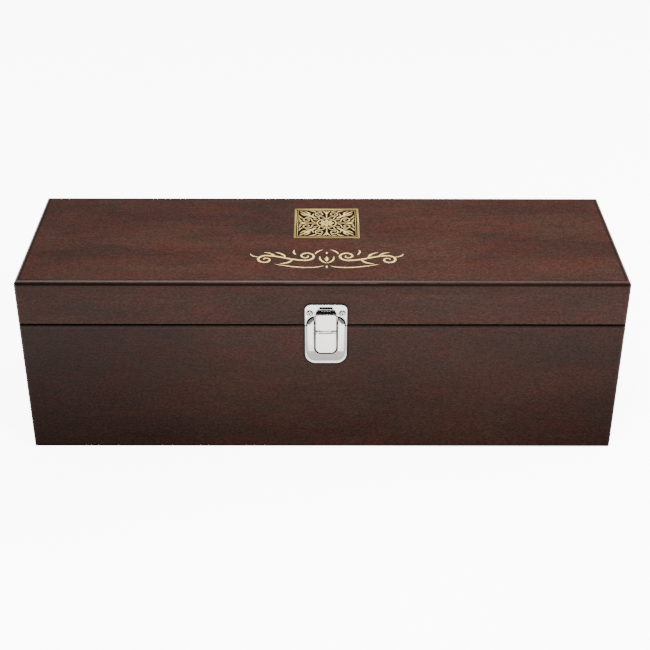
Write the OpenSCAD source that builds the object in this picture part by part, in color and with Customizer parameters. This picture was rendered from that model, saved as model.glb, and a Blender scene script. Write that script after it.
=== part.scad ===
// Wooden gift box for one bottle of wine: a mitred carcass with a hinged lid, two stop hinges,
// a draw latch at the front, a cloth lining and two saddles that hold the bottle.
// X runs along the box, the front faces -Y, Z is up, and the origin is the middle of the resting face.

/* [Box] */
// Outside length, left to right
box_l = 362; // [345:1:420]
// Outside depth, front to back
box_d = 115; // [112:1:140]
// Height of the base, from the table to its rim
base_h = 89.8; // [86:0.2:110]
// Height of the lid, from its rim to its top
lid_h = 28.9; // [26:0.1:45]
// Slit between the two rims when the lid is shut
rim_gap = 0.3; // [0.2:0.1:0.8]

/* [Wood] */
// Thickness of the walls of the base
wall_t = 10; // [9:0.5:13]
// Thickness of the lid's top panel
top_t = 8; // [6:0.5:10]
// Thickness of the bottom panel
bottom_t = 6; // [4:0.5:9]
// Width of the rabbet that the bottom panel sits in
rabbet_w = 5; // [3:0.5:6]
// Gap round the bottom panel in its rabbet
panel_fit = 0.2; // [0.1:0.1:0.5]
// Radius of the upright corners
corner_r = 2.5; // [1:0.5:4]
// Radius along the top edges of the lid
top_r = 3; // [1:0.5:5]
// Radius along the rims and the bottom edges
rim_r = 1; // [0.5:0.25:2]

/* [Lining] */
// Thickness of the felt sheet under the base
felt_t = 1.2; // [0.8:0.1:2]
// How deep the felt lies in its rabbet; the rest stands below the walls
felt_deep = 0.6; // [0.3:0.1:0.7]
// Gap round the felt sheet
felt_fit = 1; // [0.5:0.5:2]
// Thickness of the lining boards on the walls
liner_t = 2; // [1.5:0.5:3]
// Thickness of the lining board on the floor
floor_t = 3; // [2:0.5:5]
// How far the lining boards stand above the base's rim
lip_h = 3; // [2:0.5:5]
// Gap between that lip and the inside of the lid
lip_fit = 0.6; // [0.4:0.1:1]
// Thickness of the padded panel in the lid
pad_t = 7; // [4:0.5:9]
// Gap round the padded panel
pad_fit = 1; // [0.5:0.5:2]

/* [Bottle saddles] */
// Radius of the bottle's body
bottle_r = 38; // [36:0.5:40]
// Radius of the bottle's neck
neck_r = 15; // [13:0.5:17]
// Gap between a saddle and the glass
saddle_fit = 0.5; // [0.3:0.1:1.5]
// Gap under the bottle's body, above the floor lining
bottle_lift = 6; // [4:0.5:9]
// Width of the body saddle, along the box
body_rest_w = 20; // [12:1:40]
// Height of the body saddle above the floor lining
body_rest_h = 24; // [16:1:30]
// Distance of the body saddle's middle from the left end of the box
body_rest_inset = 96; // [75:1:120]
// Width of the neck saddle, along the box
neck_rest_w = 16; // [10:1:30]
// Height of the neck saddle above the floor lining
neck_rest_h = 40; // [34:1:44]
// Distance of the neck saddle's middle from the right end of the box
neck_rest_inset = 69; // [52:1:90]

/* [Hinges] */
// Distance of each hinge's middle from the nearer end of the box
hinge_inset = 71; // [60:1:120]
// Width of a hinge
hinge_w = 30; // [24:1:40]
// Depth of a leaf, from the pin to its front edge
leaf_d = 11; // [9:0.5:11.5]
// Thickness of a leaf
leaf_t = 1.2; // [0.8:0.1:1.6]
// Radius of the knuckles
knuckle_r = 2.2; // [2:0.1:3]
// Radius of the hinge pin
hinge_pin_r = 0.9; // [0.7:0.1:1.1]
// Gap between the knuckles and the back of the box
knuckle_gap = 0.3; // [0.2:0.1:1]
// Angle at which the tails of the leaves meet and stop the lid
stop_angle = 95; // [90:1:110]
// Length of a tail, from the pin
tail_l = 5.5; // [4.5:0.5:8]
// Distance between the screws of a leaf
leaf_screw_pitch = 10; // [7:0.5:12]
// Length of the hinge screws
leaf_screw_l = 10; // [6:1:14]

/* [Latch plates] */
// Place of the latch, right of the middle
latch_x = 2; // [-20:0.5:20]
// Width of the latch's plates
plate_w = 24.9; // [24.5:0.1:30]
// Thickness of the sheet metal
sheet_t = 0.8; // [0.6:0.1:0.9]
// Height of the keeper above the seam
keeper_up = 14.3; // [14:0.1:17]
// Radius of the keeper's upper corners
keeper_r = 3.4; // [2:0.2:5]
// Depth of the latch case below the seam
case_down = 26.2; // [25:0.1:30]
// Radius of the lower corners of the case
case_r = 6.5; // [4:0.5:8]
// Height of the case's rails above the wood
rail_h = 3.2; // [2.8:0.1:3.4]
// Width across the two rails
rails_w = 22.1; // [21.5:0.1:23.5]
// Height of the rails above the seam
rails_up = 6; // [5.7:0.1:6.1]
// Radius of the rails' upper corners
rails_r = 4.8; // [3:0.1:6]
// Place where the rails' shoulders start to slope back, above the seam
shoulder_start = 2; // [1.9:0.1:4]
// Height of the shoulders' upper ends above the wood
shoulder_h = 1.5; // [1.3:0.1:3]
// Place where the rails start to slope down to the flange, below the seam
slope_start = 16.2; // [12:0.1:19]
// Place where that slope ends, below the seam
slope_end = 24.3; // [22:0.1:24.6]
// Height of the slope's end above the flange
slope_foot = 0.5; // [0.3:0.1:1]
// Gap between the case and the cut-out of the keeper
nest_fit = 0.6; // [0.3:0.1:0.6]
// Width of the well that the lever lies in
well_w = 14.4; // [13.8:0.1:16]
// Depth of that well below the seam
well_down = 18.7; // [18:0.1:20]
// Distance between the keeper's screws
keeper_screw_pitch = 19.3; // [17:0.1:20]
// Height of the keeper's screws above the seam
keeper_screw_up = 8.7; // [8.4:0.1:9.5]
// Radius of the latch screws' heads
latch_head_r = 1.6; // [1.3:0.1:1.7]
// Length of the latch screws
latch_screw_l = 7; // [5:0.5:8]

/* [Latch lever and claw] */
// Width of the lever and the claw
lever_w = 12.1; // [11.5:0.1:12.5]
// Thickness of the lever and the claw
lever_t = 0.9; // [0.7:0.1:1]
// Height of the pivot pin above the wood
pivot_out = 2.2; // [2.1:0.1:2.3]
// Height of the pivot pin above the seam
pivot_up = 1.2; // [0.9:0.1:1.3]
// Depth of the claw's pin below the seam
claw_pin_down = 2.5; // [2:0.1:4]
// Radius of both latch pins
latch_pin_r = 0.5; // [0.4:0.05:0.55]
// Radius of the claw's knuckle
claw_knuckle_r = 1; // [0.9:0.05:1.05]
// Length of the claw's knuckle
claw_knuckle_w = 7; // [5:0.5:8]
// Height of the claw above the seam
claw_up = 9.2; // [9:0.1:9.8]
// Radius of the claw's upper corners
claw_r = 1.8; // [1:0.2:3]
// Depth of the lever below the seam
lever_down = 17; // [15:0.1:17.5]
// Radius of the lever's lower corners
lever_r = 3.4; // [2:0.2:4]
// Thickness of the lever's arms
arm_t = 0.8; // [0.6:0.1:1]
// Height of the keeper's hook above its plate
hook_out = 1.3; // [1:0.1:1.5]
// Gap between the claw's lip and the keeper's hook at rest
catch_fit = 0.15; // [0.1:0.05:0.4]
// Angle that the lever opens to, where its toes meet the case
lever_open = 100; // [90:1:102]

/* [Hidden] */
$fn = 48;
eps = 0.01;
// How far a cut runs past the face that it opens
past = 1;

// Heights of the box
seam_z = base_h + rim_gap / 2;
lid_z = base_h + rim_gap;
box_h = lid_z + lid_h;
rail_top_z = box_h - top_t;
floor_z = felt_t + bottom_t;
deck_z = floor_z + floor_t;

// Widths inside the box
rail_t = wall_t - lip_fit;
in_l = box_l - 2 * wall_t;
in_d = box_d - 2 * wall_t;
bay_d = in_d - 2 * liner_t;

// Height of the bottle's axis, and the saddles' places left and right of the middle
bottle_z = deck_z + bottle_lift + bottle_r;
body_rest_x = box_l / 2 - body_rest_inset;
neck_rest_x = box_l / 2 - neck_rest_inset;

// Gaps of the turning pieces and of the screws in their pilot holes
turn_fit = 0.05;
pilot_fit = 0.05;

// The hinges
hinge_x = box_l / 2 - hinge_inset;
hinge_y = box_d / 2 + knuckle_gap + knuckle_r;
leaf_gap = 0.2;
leaf_z = -leaf_gap / 2 - leaf_t;
knuckle_count = 5;
knuckle_side_gap = 0.2;
knuckle_fit = 0.2;
web_reach = 1.5;
mortise_fit = 0.1;
tail_fit = 0.05;
hinge_head_r = 1.9;
hinge_shank_r = 1;
head_sink = 0.05;

// Cross recesses: length and depth as shares of the head, and a blade's length over its width
recess_share = 1.15;
recess_deep = 0.6;
blade_slim = 4;

// The latch: u is the distance out from the front of the box, z is counted from the seam
claw_pin_ahead = 1.4;
claw_fit = 0.1;
notch_fit = 0.15;
plate_gap = 0.85;
toe_fit = 0.03;
toe_t = 0.8;
lever_u = pivot_out + claw_pin_ahead;
claw_u = lever_u - lever_t / 2;
eye_r = claw_u - claw_fit - pivot_out;
claw_pin_z = -claw_pin_down;
lever_half = lever_w / 2;
claw_half = claw_knuckle_w / 2;
// The toe's outer corner meets the case's floor when the lever is open
toe_l = (pivot_out - sheet_t - toe_fit + toe_t * cos(lever_open)) / sin(lever_open);
// Where the lever's arms start to taper and where they end, below the claw's pin
arm_taper = 6;
arm_end = 10;
// Thickness of the claw's lip and its height above the keeper's hook
lip_t = 0.85;
lip_over = 0.05;
// The keeper's hook: foot and tip
hook_u = sheet_t + hook_out;
hook_top = claw_up - lip_t - lip_over;
hook_foot = 0.7;
hook_tip = 0.75;
hook_tall = 1.6;
hook_r = 0.6;
// The keeper's dish, the window in it and the boss on it: heights are from the seam, and a pair
// of widths is for the bottom and the top
dish_up = 8.2;
dish_tall = 4.8;
dish_w = [12.4, 8];
dish_depth = 0.3;
window_up = 11.2;
window_tall = 1.4;
window_w = [8.4, 7.2];
boss_up = 9.5;
boss_w = 6.2;
boss_tall = 2;
boss_out = 0.3;
slit = [3.2, 0.5];
// Pocket in the wood behind the window
pocket_in = 0.3;
pocket_deep = 2;
latch_shank_r = 0.9;
latch_head_h = 0.9;
// Gap between the lid and the rails that stand in front of it
case_relief = 0.2;
case_screws_down = [9, 15];
well_r = lever_r + (well_w - lever_w) / 2;
pin_reach = well_w / 2 + sheet_t + 0.3;

// ---------- shared shapes ----------

// Rectangle w wide from z0 to z1, centred on 0, with its own radius at the top and at the bottom
module plate_outline(w, z0, z1, r_top, r_bottom) {
    translate([-w / 2, z0 + r_bottom]) square([w, z1 - r_top - z0 - r_bottom]);
    translate([-w / 2 + r_top, z1 - r_top - eps]) square([w - 2 * r_top, r_top + eps]);
    translate([-w / 2 + r_bottom, z0]) square([w - 2 * r_bottom, r_bottom + eps]);
    for (side = [-1, 1]) {
        if (r_top > 0) translate([side * (w / 2 - r_top), z1 - r_top]) circle(r_top);
        if (r_bottom > 0) translate([side * (w / 2 - r_bottom), z0 + r_bottom]) circle(r_bottom);
    }
}

// Outline in (x, z), pushed out of the front of the box from u0 to u1
module from_front(u0, u1) {
    rotate([90, 0, 0]) translate([0, 0, u0]) linear_extrude(u1 - u0) children();
}

// Profile in (u, z), swept along x from x0 to x1
module along_x(x0, x1) {
    translate([x0, 0, 0]) rotate([90, 0, 90]) linear_extrude(x1 - x0) mirror([1, 0]) children();
}

// Round bar along x, at (y, z)
module bar_x(x0, x1, y, z, r) {
    translate([x0, y, z]) rotate([0, 90, 0]) cylinder(h = x1 - x0, r = r);
}

// Puts the latch's own axes on the front of the box, at the seam
module at_latch() {
    translate([latch_x, -box_d / 2, seam_z]) children();
}

// Cross recess of a screw, cut down into its head from z = 0
module cross_recess(head_r, head_h) {
    size = head_r * recess_share;
    depth = head_h * recess_deep;
    for (turn = [0, 90]) rotate([0, 0, turn])
        translate([-size / 2, -size / blade_slim / 2, -depth])
            cube([size, size / blade_slim, depth + past]);
}

// Countersunk screw with its head's top at z = 0, pointing down; grow opens it into its own hole
module sunk_screw(head_r, shank_r, length, grow = 0) {
    head_h = head_r - shank_r;
    difference() {
        union() {
            translate([0, 0, -head_h]) cylinder(h = head_h, r1 = shank_r + grow, r2 = head_r + grow);
            translate([0, 0, -length]) cylinder(h = length - head_h + eps, r = shank_r + grow);
            if (grow > 0) cylinder(h = past, r = head_r + grow);
        }
        if (grow == 0) cross_recess(head_r, head_h);
    }
}

// Screw with a low head that stands on z = 0, its shank pointing down
module flat_screw(head_r, head_h, shank_r, length) {
    difference() {
        union() {
            cylinder(h = head_h / 2, r = head_r);
            translate([0, 0, head_h / 2 - eps])
                cylinder(h = head_h / 2 + eps, r1 = head_r, r2 = head_r - head_h / 2);
            translate([0, 0, -length]) cylinder(h = length + eps, r = shank_r);
        }
        translate([0, 0, head_h]) cross_recess(head_r, head_h);
    }
}

// ---------- carcass ----------

// Upright prism over the box's outline, with round corners
module box_prism(z0, z1) {
    translate([0, 0, z0]) linear_extrude(z1 - z0) rotate(90)
        plate_outline(box_d, -box_l / 2, box_l / 2, corner_r, corner_r);
}

// Profile of a wall with its outer face at 0, round at its outer edges
module wall_profile(t, z0, z1, r_bottom, r_top) {
    inner = max(r_bottom, r_top);
    translate([0, z0 + r_bottom]) square([t, z1 - r_top - z0 - r_bottom]);
    translate([inner, z0]) square([t - inner, z1 - z0]);
    if (r_bottom > 0) {
        translate([r_bottom, z0 + r_bottom]) circle(r_bottom);
        translate([r_bottom, z0]) square([t - r_bottom, r_bottom + eps]);
    }
    if (r_top > 0) {
        translate([r_top, z1 - r_top]) circle(r_top);
        translate([r_top, z1 - r_top - eps]) square([t - r_top, r_top + eps]);
    }
}

// One wall along the front, mitred at both ends
module front_wall(t, z0, z1, r_bottom, r_top) {
    half = box_l / 2;
    intersection() {
        translate([-half, -box_d / 2, 0]) rotate([90, 0, 90]) linear_extrude(box_l)
            wall_profile(t, z0, z1, r_bottom, r_top);
        translate([0, -box_d / 2, z0 - past]) linear_extrude(z1 - z0 + 2 * past)
            polygon([[-half, 0], [half, 0], [half - t, t], [t - half, t]]);
        box_prism(z0 - past, z1 + past);
    }
}

// One wall along the left end, mitred at both ends
module left_wall(t, z0, z1, r_bottom, r_top) {
    intersection() {
        translate([-box_l / 2, box_d / 2, 0]) rotate([90, 0, 0]) linear_extrude(box_d)
            wall_profile(t, z0, z1, r_bottom, r_top);
        translate([-box_l / 2, 0, z0 - past]) linear_extrude(z1 - z0 + 2 * past)
            polygon([[0, -box_d / 2], [t, t - box_d / 2], [t, box_d / 2 - t], [0, box_d / 2]]);
        box_prism(z0 - past, z1 + past);
    }
}

module base_wall_front() {
    front_wall(wall_t, felt_t - felt_deep, base_h, rim_r, rim_r);
}

module base_wall_left() {
    left_wall(wall_t, felt_t - felt_deep, base_h, rim_r, rim_r);
}

// Space that the bottom panel and the felt take out of the walls
module bottom_rabbet() {
    l = in_l + 2 * rabbet_w;
    d = in_d + 2 * rabbet_w;
    translate([-l / 2, -d / 2, -past]) cube([l, d, floor_z + past]);
}

module base_front() {
    color("#4a2a20") difference() {
        base_wall_front();
        bottom_rabbet();
        at_latch() case_screw_places() latch_pilot();
    }
}

module base_back() {
    color("#4a2a20") difference() {
        mirror([0, 1, 0]) base_wall_front();
        bottom_rabbet();
        for (side = [-1, 1]) at_hinge(side) {
            leaf_mortise();
            leaf_screws(pilot_fit);
        }
    }
}

module base_left() {
    color("#4a2a20") difference() {
        base_wall_left();
        bottom_rabbet();
    }
}

module base_right() {
    color("#4a2a20") difference() {
        mirror([1, 0, 0]) base_wall_left();
        bottom_rabbet();
    }
}

module base_bottom() {
    l = in_l + 2 * rabbet_w - 2 * panel_fit;
    d = in_d + 2 * rabbet_w - 2 * panel_fit;
    color("#3c221a") translate([-l / 2, -d / 2, felt_t]) cube([l, d, bottom_t]);
}

module base_felt() {
    l = in_l + 2 * rabbet_w - 2 * felt_fit;
    d = in_d + 2 * rabbet_w - 2 * felt_fit;
    color("#1c1a1a") linear_extrude(felt_t) rotate(90)
        plate_outline(d, -l / 2, l / 2, corner_r, corner_r);
}

// ---------- lid ----------

module lid_rail_front() {
    front_wall(rail_t, lid_z, rail_top_z, rim_r, 0);
}

module lid_rail_left() {
    left_wall(rail_t, lid_z, rail_top_z, rim_r, 0);
}

module lid_top() {
    color("#55331f") intersection() {
        box_prism(rail_top_z, box_h + past);
        translate([-box_l / 2 - past, 0, 0]) rotate([90, 0, 90]) linear_extrude(box_l + 2 * past)
            plate_outline(box_d, rail_top_z, box_h, top_r, 0);
        translate([0, box_d / 2 + past, 0]) rotate([90, 0, 0]) linear_extrude(box_d + 2 * past)
            plate_outline(box_l, rail_top_z, box_h, top_r, 0);
    }
}

module lid_front() {
    color("#4a2a20") difference() {
        lid_rail_front();
        at_latch() {
            keeper_screw_places() latch_pilot();
            window_pocket();
        }
    }
}

module lid_back() {
    color("#4a2a20") difference() {
        mirror([0, 1, 0]) lid_rail_front();
        for (side = [-1, 1]) at_hinge(side) flipped() {
            leaf_mortise();
            leaf_screws(pilot_fit);
        }
    }
}

module lid_left() {
    color("#4a2a20") lid_rail_left();
}

module lid_right() {
    color("#4a2a20") mirror([1, 0, 0]) lid_rail_left();
}

module lid_pad() {
    l = box_l - 2 * rail_t - 2 * pad_fit;
    d = box_d - 2 * rail_t - 2 * pad_fit;
    color("#232021") translate([0, 0, rail_top_z - pad_t]) linear_extrude(pad_t) rotate(90)
        plate_outline(d, -l / 2, l / 2, corner_r, corner_r);
}

// ---------- lining and saddles ----------

module liner_floor() {
    color("#232021") translate([-in_l / 2, -in_d / 2, floor_z]) cube([in_l, in_d, floor_t]);
}

module liner_long() {
    translate([-in_l / 2, -in_d / 2, deck_z]) cube([in_l, liner_t, base_h + lip_h - deck_z]);
}

module liner_short() {
    translate([-in_l / 2, -bay_d / 2, deck_z]) cube([liner_t, bay_d, base_h + lip_h - deck_z]);
}

module liner_front() {
    color("#232021") liner_long();
}

module liner_back() {
    color("#232021") mirror([0, 1, 0]) liner_long();
}

module liner_left() {
    color("#232021") liner_short();
}

module liner_right() {
    color("#232021") mirror([1, 0, 0]) liner_short();
}

// Block across the bay with a round seat for glass of radius r
module saddle(x, w, h, r) {
    difference() {
        translate([x - w / 2, -bay_d / 2, deck_z]) cube([w, bay_d, h]);
        bar_x(x - w / 2 - past, x + w / 2 + past, 0, bottle_z, r + saddle_fit);
    }
}

module body_saddle() {
    color("#2b2728") saddle(-body_rest_x, body_rest_w, body_rest_h, bottle_r);
}

module neck_saddle() {
    color("#2b2728") saddle(neck_rest_x, neck_rest_w, neck_rest_h, neck_r);
}

// ---------- hinges ----------

// Puts a hinge's own axes on its pin: x along the pin, y to the back, z up
module at_hinge(side) {
    translate([side * hinge_x, hinge_y, seam_z]) children();
}

// Turns a base leaf's shape into a lid leaf's
module flipped() {
    mirror([0, 0, 1]) children();
}

// The row of knuckles with an even or odd number, one radius larger where it is used as a cut
module knuckles(odd, r, side_gap) {
    pitch = hinge_w / knuckle_count;
    for (i = [odd:2:knuckle_count - 1]) {
        low = i == 0 ? 0 : side_gap / 2;
        high = i == knuckle_count - 1 ? 0 : side_gap / 2;
        x0 = -hinge_w / 2 + i * pitch;
        bar_x(x0 + low, x0 + pitch - high, 0, 0, r);
    }
}

// A slab that leaves the pin towards the back and down, its upper face on the stop plane
module tail_slab(r0) {
    rotate([-stop_angle / 2, 0, 0]) translate([-hinge_w / 2, r0, -leaf_t - tail_fit])
        cube([hinge_w, tail_l - r0, leaf_t]);
}

// Flat slab of the leaf, from y0 to y1
module leaf_slab(y0, y1) {
    translate([-hinge_w / 2, y0, leaf_z]) cube([hinge_w, y1 - y0, leaf_t]);
}

module leaf(odd) {
    root = knuckle_r + knuckle_fit;
    difference() {
        union() {
            leaf_slab(-leaf_d, -root);
            tail_slab(root);
            intersection() {
                union() {
                    leaf_slab(-root - eps, 0);
                    tail_slab(0);
                }
                knuckles(odd, knuckle_r + web_reach, knuckle_side_gap);
            }
            knuckles(odd, knuckle_r, knuckle_side_gap);
        }
        bar_x(-hinge_w, hinge_w, 0, 0, hinge_pin_r + turn_fit);
        leaf_screws(pilot_fit);
    }
}

// Space that a leaf takes out of the rim, open to the back
module leaf_mortise() {
    w = hinge_w + 2 * mortise_fit;
    front = leaf_d + mortise_fit;
    translate([-w / 2, -front, leaf_z]) cube([w, front, leaf_t + leaf_gap + past]);
}

// The three screws of a leaf, or their holes where grow is not 0
module leaf_screws(grow = 0) {
    y = -(leaf_d + knuckle_r + knuckle_gap) / 2;
    for (i = [-1:1]) translate([i * leaf_screw_pitch, y, leaf_z + leaf_t - head_sink])
        sunk_screw(hinge_head_r, hinge_shank_r, leaf_screw_l, grow);
}

module hinge_base_leaf(side) {
    color("#c9c8c4") at_hinge(side) leaf(0);
}

module hinge_lid_leaf(side) {
    color("#c9c8c4") at_hinge(side) flipped() leaf(1);
}

module hinge_pin(side) {
    color("#9c9b98") at_hinge(side) bar_x(-hinge_w / 2, hinge_w / 2, 0, 0, hinge_pin_r);
}

module hinge_base_screws() {
    color("#b5b4b0") for (side = [-1, 1]) at_hinge(side) leaf_screws();
}

module hinge_lid_screws() {
    color("#b5b4b0") for (side = [-1, 1]) at_hinge(side) flipped() leaf_screws();
}

// ---------- latch: keeper on the lid ----------

// Outline of the case's raised part; grow makes the cut-out of the keeper, or the hollow behind
module rails_outline(grow = 0) {
    plate_outline(rails_w + 2 * grow, -slope_end - grow, rails_up + grow,
        rails_r + grow, case_r - (plate_w - rails_w) / 2 + grow);
}

// Trapezium from z0, tall high, with its widths at the bottom and at the top, drawn in by inset
module trapezium(z0, tall, w, inset = 0) {
    low = w[0] / 2 - inset;
    high = w[1] / 2 - inset;
    z1 = z0 + tall;
    polygon([[-low, z0 + inset], [low, z0 + inset], [high, z1 - inset], [-high, z1 - inset]]);
}

// Hexagon with points to the left and right, centred on the boss
module boss_outline() {
    point = boss_w / 2;
    flat = (boss_w - boss_tall) / 2;
    half = boss_tall / 2;
    translate([0, boss_up])
        polygon([[-point, 0], [-flat, -half], [flat, -half], [point, 0], [flat, half], [-flat, half]]);
}

module keeper_screw_places() {
    for (side = [-1, 1]) translate([side * keeper_screw_pitch / 2, 0, keeper_screw_up])
        rotate([90, 0, 0]) children();
}

// Hole for the shank of a latch screw, from outside the plate to past the screw's end
module latch_pilot() {
    translate([0, 0, -latch_screw_l - past])
        cylinder(h = latch_screw_l + sheet_t + 2 * past, r = latch_shank_r + pilot_fit);
}

// Pocket in the wood behind the window
module window_pocket() {
    from_front(-pocket_deep, past) trapezium(window_up, window_tall, window_w, pocket_in);
}

// Hook in (u, z): a foot out of the plate and a tip that stands up
module hook_profile() {
    translate([sheet_t - dish_depth, hook_top - hook_tall])
        square([hook_out + dish_depth, hook_foot]);
    translate([hook_u - hook_tip, hook_top - hook_tall]) square([hook_tip, hook_tall]);
}

module keeper_plate() {
    color("#dcdcd8") at_latch() {
        difference() {
            union() {
                from_front(0, sheet_t) difference() {
                    plate_outline(plate_w, rim_gap, keeper_up, keeper_r, 0);
                    rails_outline(nest_fit);
                }
            }
            difference() {
                from_front(sheet_t - dish_depth, sheet_t + past) trapezium(dish_up, dish_tall, dish_w);
                from_front(0, sheet_t + boss_out) boss_outline();
            }
            from_front(-past, sheet_t + past) trapezium(window_up, window_tall, window_w);
            keeper_screw_places() latch_pilot();
        }
        difference() {
            from_front(sheet_t - dish_depth, sheet_t + boss_out) boss_outline();
            from_front(sheet_t - dish_depth, sheet_t + past)
                translate([-slit[0] / 2, boss_up - slit[1] / 2]) square(slit);
        }
        intersection() {
            along_x(-lever_half, lever_half) hook_profile();
            from_front(0, hook_u + past)
                plate_outline(lever_w - arm_t, hook_top - hook_tall, hook_top, hook_r, 0);
        }
    }
}

module keeper_screws() {
    color("#c4c3bf") at_latch() keeper_screw_places() latch_screw();
}

// Screw of the latch, its head on the sheet
module latch_screw() {
    translate([0, 0, sheet_t])
        flat_screw(latch_head_r, latch_head_h, latch_shank_r, latch_screw_l + sheet_t);
}

// ---------- latch: case on the base ----------

// Height of the raised part in (u, z), thinner by skin for the hollow behind it
module rails_profile(skin = 0) {
    foot_u = sheet_t + slope_foot - skin;
    polygon([[-past, -slope_end - past], [foot_u, -slope_end - past], [foot_u, -slope_end],
        [rail_h - skin, -slope_start], [rail_h - skin, shoulder_start],
        [shoulder_h - skin, rails_up], [-past, rails_up + past]]);
}

// The well that the lever lies in, open at its top
module well_outline(grow = 0) {
    plate_outline(well_w + 2 * grow, -well_down - grow, rails_up + past, 0, well_r + grow);
}

module latch_case() {
    color("#dcdcd8") at_latch() difference() {
        union() {
            from_front(0, sheet_t) plate_outline(plate_w, -case_down, -rim_gap, 0, case_r);
            intersection() {
                from_front(0, rail_h + past) rails_outline();
                along_x(-plate_w, plate_w) rails_profile();
            }
        }
        from_front(sheet_t, rail_h + past) well_outline();
        intersection() {
            from_front(-past, rail_h) difference() {
                rails_outline(-sheet_t);
                well_outline(sheet_t);
            }
            along_x(-plate_w, plate_w) rails_profile(sheet_t);
        }
        translate([-plate_w, -case_relief, -rim_gap])
            cube([2 * plate_w, case_relief + past, rails_up + rim_gap + past]);
        bar_x(-plate_w, plate_w, -pivot_out, pivot_up, latch_pin_r + turn_fit);
        case_screw_places() latch_pilot();
    }
}

module case_screw_places() {
    for (down = case_screws_down) translate([0, 0, -down]) rotate([90, 0, 0]) children();
}

module latch_case_screws() {
    color("#c4c3bf") at_latch() case_screw_places() latch_screw();
}

module latch_pivot_pin() {
    color("#a9a8a4") at_latch() bar_x(-pin_reach, pin_reach, -pivot_out, pivot_up, latch_pin_r);
}

// ---------- latch: lever and claw ----------

// Bore along x through the lever and the claw for a latch pin
module pin_bore(u, z) {
    bar_x(-lever_half - past, lever_half + past, -u, z, latch_pin_r + turn_fit);
}

// Arm of the lever in (u, z): an eye on the pivot with a toe that stops the lever when it is open
module arm_profile() {
    inner = pivot_out - eye_r;
    taper_z = claw_pin_z - arm_taper;
    translate([pivot_out, pivot_up]) {
        circle(eye_r);
        square([toe_t, toe_l]);
    }
    translate([inner, taper_z]) square([2 * eye_r, pivot_up - taper_z]);
    polygon([[inner, taper_z], [claw_u + eps, claw_pin_z - arm_end],
        [claw_u + eps, claw_pin_z - plate_gap], [inner, claw_pin_z - plate_gap]]);
}

module latch_lever() {
    knuckle_x = claw_half + notch_fit;
    color("#e4e4e0") at_latch() difference() {
        union() {
            from_front(claw_u, claw_u + lever_t)
                plate_outline(lever_w, -lever_down, claw_pin_z - plate_gap, 0, lever_r);
            for (side = [-1, 1]) mirror([side < 0 ? 1 : 0, 0, 0]) {
                along_x(lever_half - arm_t, lever_half) arm_profile();
                bar_x(knuckle_x, lever_half, -lever_u, claw_pin_z, claw_knuckle_r);
            }
        }
        pin_bore(lever_u, claw_pin_z);
        pin_bore(pivot_out, pivot_up);
        bar_x(-knuckle_x, knuckle_x, -lever_u, claw_pin_z, claw_knuckle_r + notch_fit);
    }
}

// Claw in (u, z): a plate with a lip at its top that reaches over the keeper's hook
module claw_profile() {
    tip_u = hook_u + catch_fit;
    translate([claw_u, claw_pin_z]) square([lever_t, claw_up - claw_pin_z]);
    translate([tip_u, claw_up - lip_t]) square([claw_u - tip_u + eps, lip_t]);
}

module latch_claw() {
    color("#e4e4e0") at_latch() difference() {
        union() {
            intersection() {
                along_x(-lever_half, lever_half) claw_profile();
                from_front(0, claw_u + lever_t + past)
                    plate_outline(lever_w, claw_pin_z, claw_up, claw_r, 0);
            }
            bar_x(-claw_half, claw_half, -lever_u, claw_pin_z, claw_knuckle_r);
        }
        pin_bore(lever_u, claw_pin_z);
        for (side = [-1, 1]) mirror([side < 0 ? 1 : 0, 0, 0])
            bar_x(claw_half, lever_half + past, -lever_u, claw_pin_z, claw_knuckle_r + notch_fit);
    }
}

module latch_claw_pin() {
    color("#a9a8a4") at_latch()
        bar_x(-lever_half, lever_half, -lever_u, claw_pin_z, latch_pin_r);
}

// ---------- the nodes ----------

base_front();
base_back();
base_left();
base_right();
base_bottom();
base_felt();
lid_top();
lid_front();
lid_back();
lid_left();
lid_right();
liner_floor();
liner_front();
liner_back();
liner_left();
liner_right();
lid_pad();
body_saddle();
neck_saddle();
hinge_base_leaf(-1);  // hinge_left_base_leaf
hinge_lid_leaf(-1);  // hinge_left_lid_leaf
hinge_pin(-1);  // hinge_left_pin
hinge_base_leaf(1);  // hinge_right_base_leaf
hinge_lid_leaf(1);  // hinge_right_lid_leaf
hinge_pin(1);  // hinge_right_pin
hinge_base_screws();
hinge_lid_screws();
latch_case();
latch_case_screws();
latch_pivot_pin();
latch_lever();
latch_claw();
latch_claw_pin();
keeper_plate();
keeper_screws();
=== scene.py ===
import math

import bmesh
import bpy
from mathutils import Matrix, Vector, noise


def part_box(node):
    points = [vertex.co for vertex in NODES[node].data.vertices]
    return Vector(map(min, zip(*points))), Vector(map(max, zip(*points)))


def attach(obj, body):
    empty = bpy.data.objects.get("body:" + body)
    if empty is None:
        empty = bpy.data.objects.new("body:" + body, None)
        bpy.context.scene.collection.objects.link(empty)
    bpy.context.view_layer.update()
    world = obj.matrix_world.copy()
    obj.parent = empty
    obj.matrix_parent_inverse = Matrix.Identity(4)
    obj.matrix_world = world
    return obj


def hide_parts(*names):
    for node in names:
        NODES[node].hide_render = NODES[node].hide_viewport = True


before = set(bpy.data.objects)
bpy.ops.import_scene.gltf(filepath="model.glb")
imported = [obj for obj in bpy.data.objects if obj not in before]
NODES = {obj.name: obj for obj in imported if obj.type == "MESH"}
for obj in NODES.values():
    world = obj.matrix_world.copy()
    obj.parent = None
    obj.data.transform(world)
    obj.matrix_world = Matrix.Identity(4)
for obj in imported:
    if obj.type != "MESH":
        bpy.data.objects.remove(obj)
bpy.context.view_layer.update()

MM = 0.001

# The wooden body in metres, without latch and hinges, and the middle of its seam
HALF_SIZES = (0.181, 0.0575)
BODY_TOP = 0.119
SEAM_Z = 0.08995

# ---------- camera ----------

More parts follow.
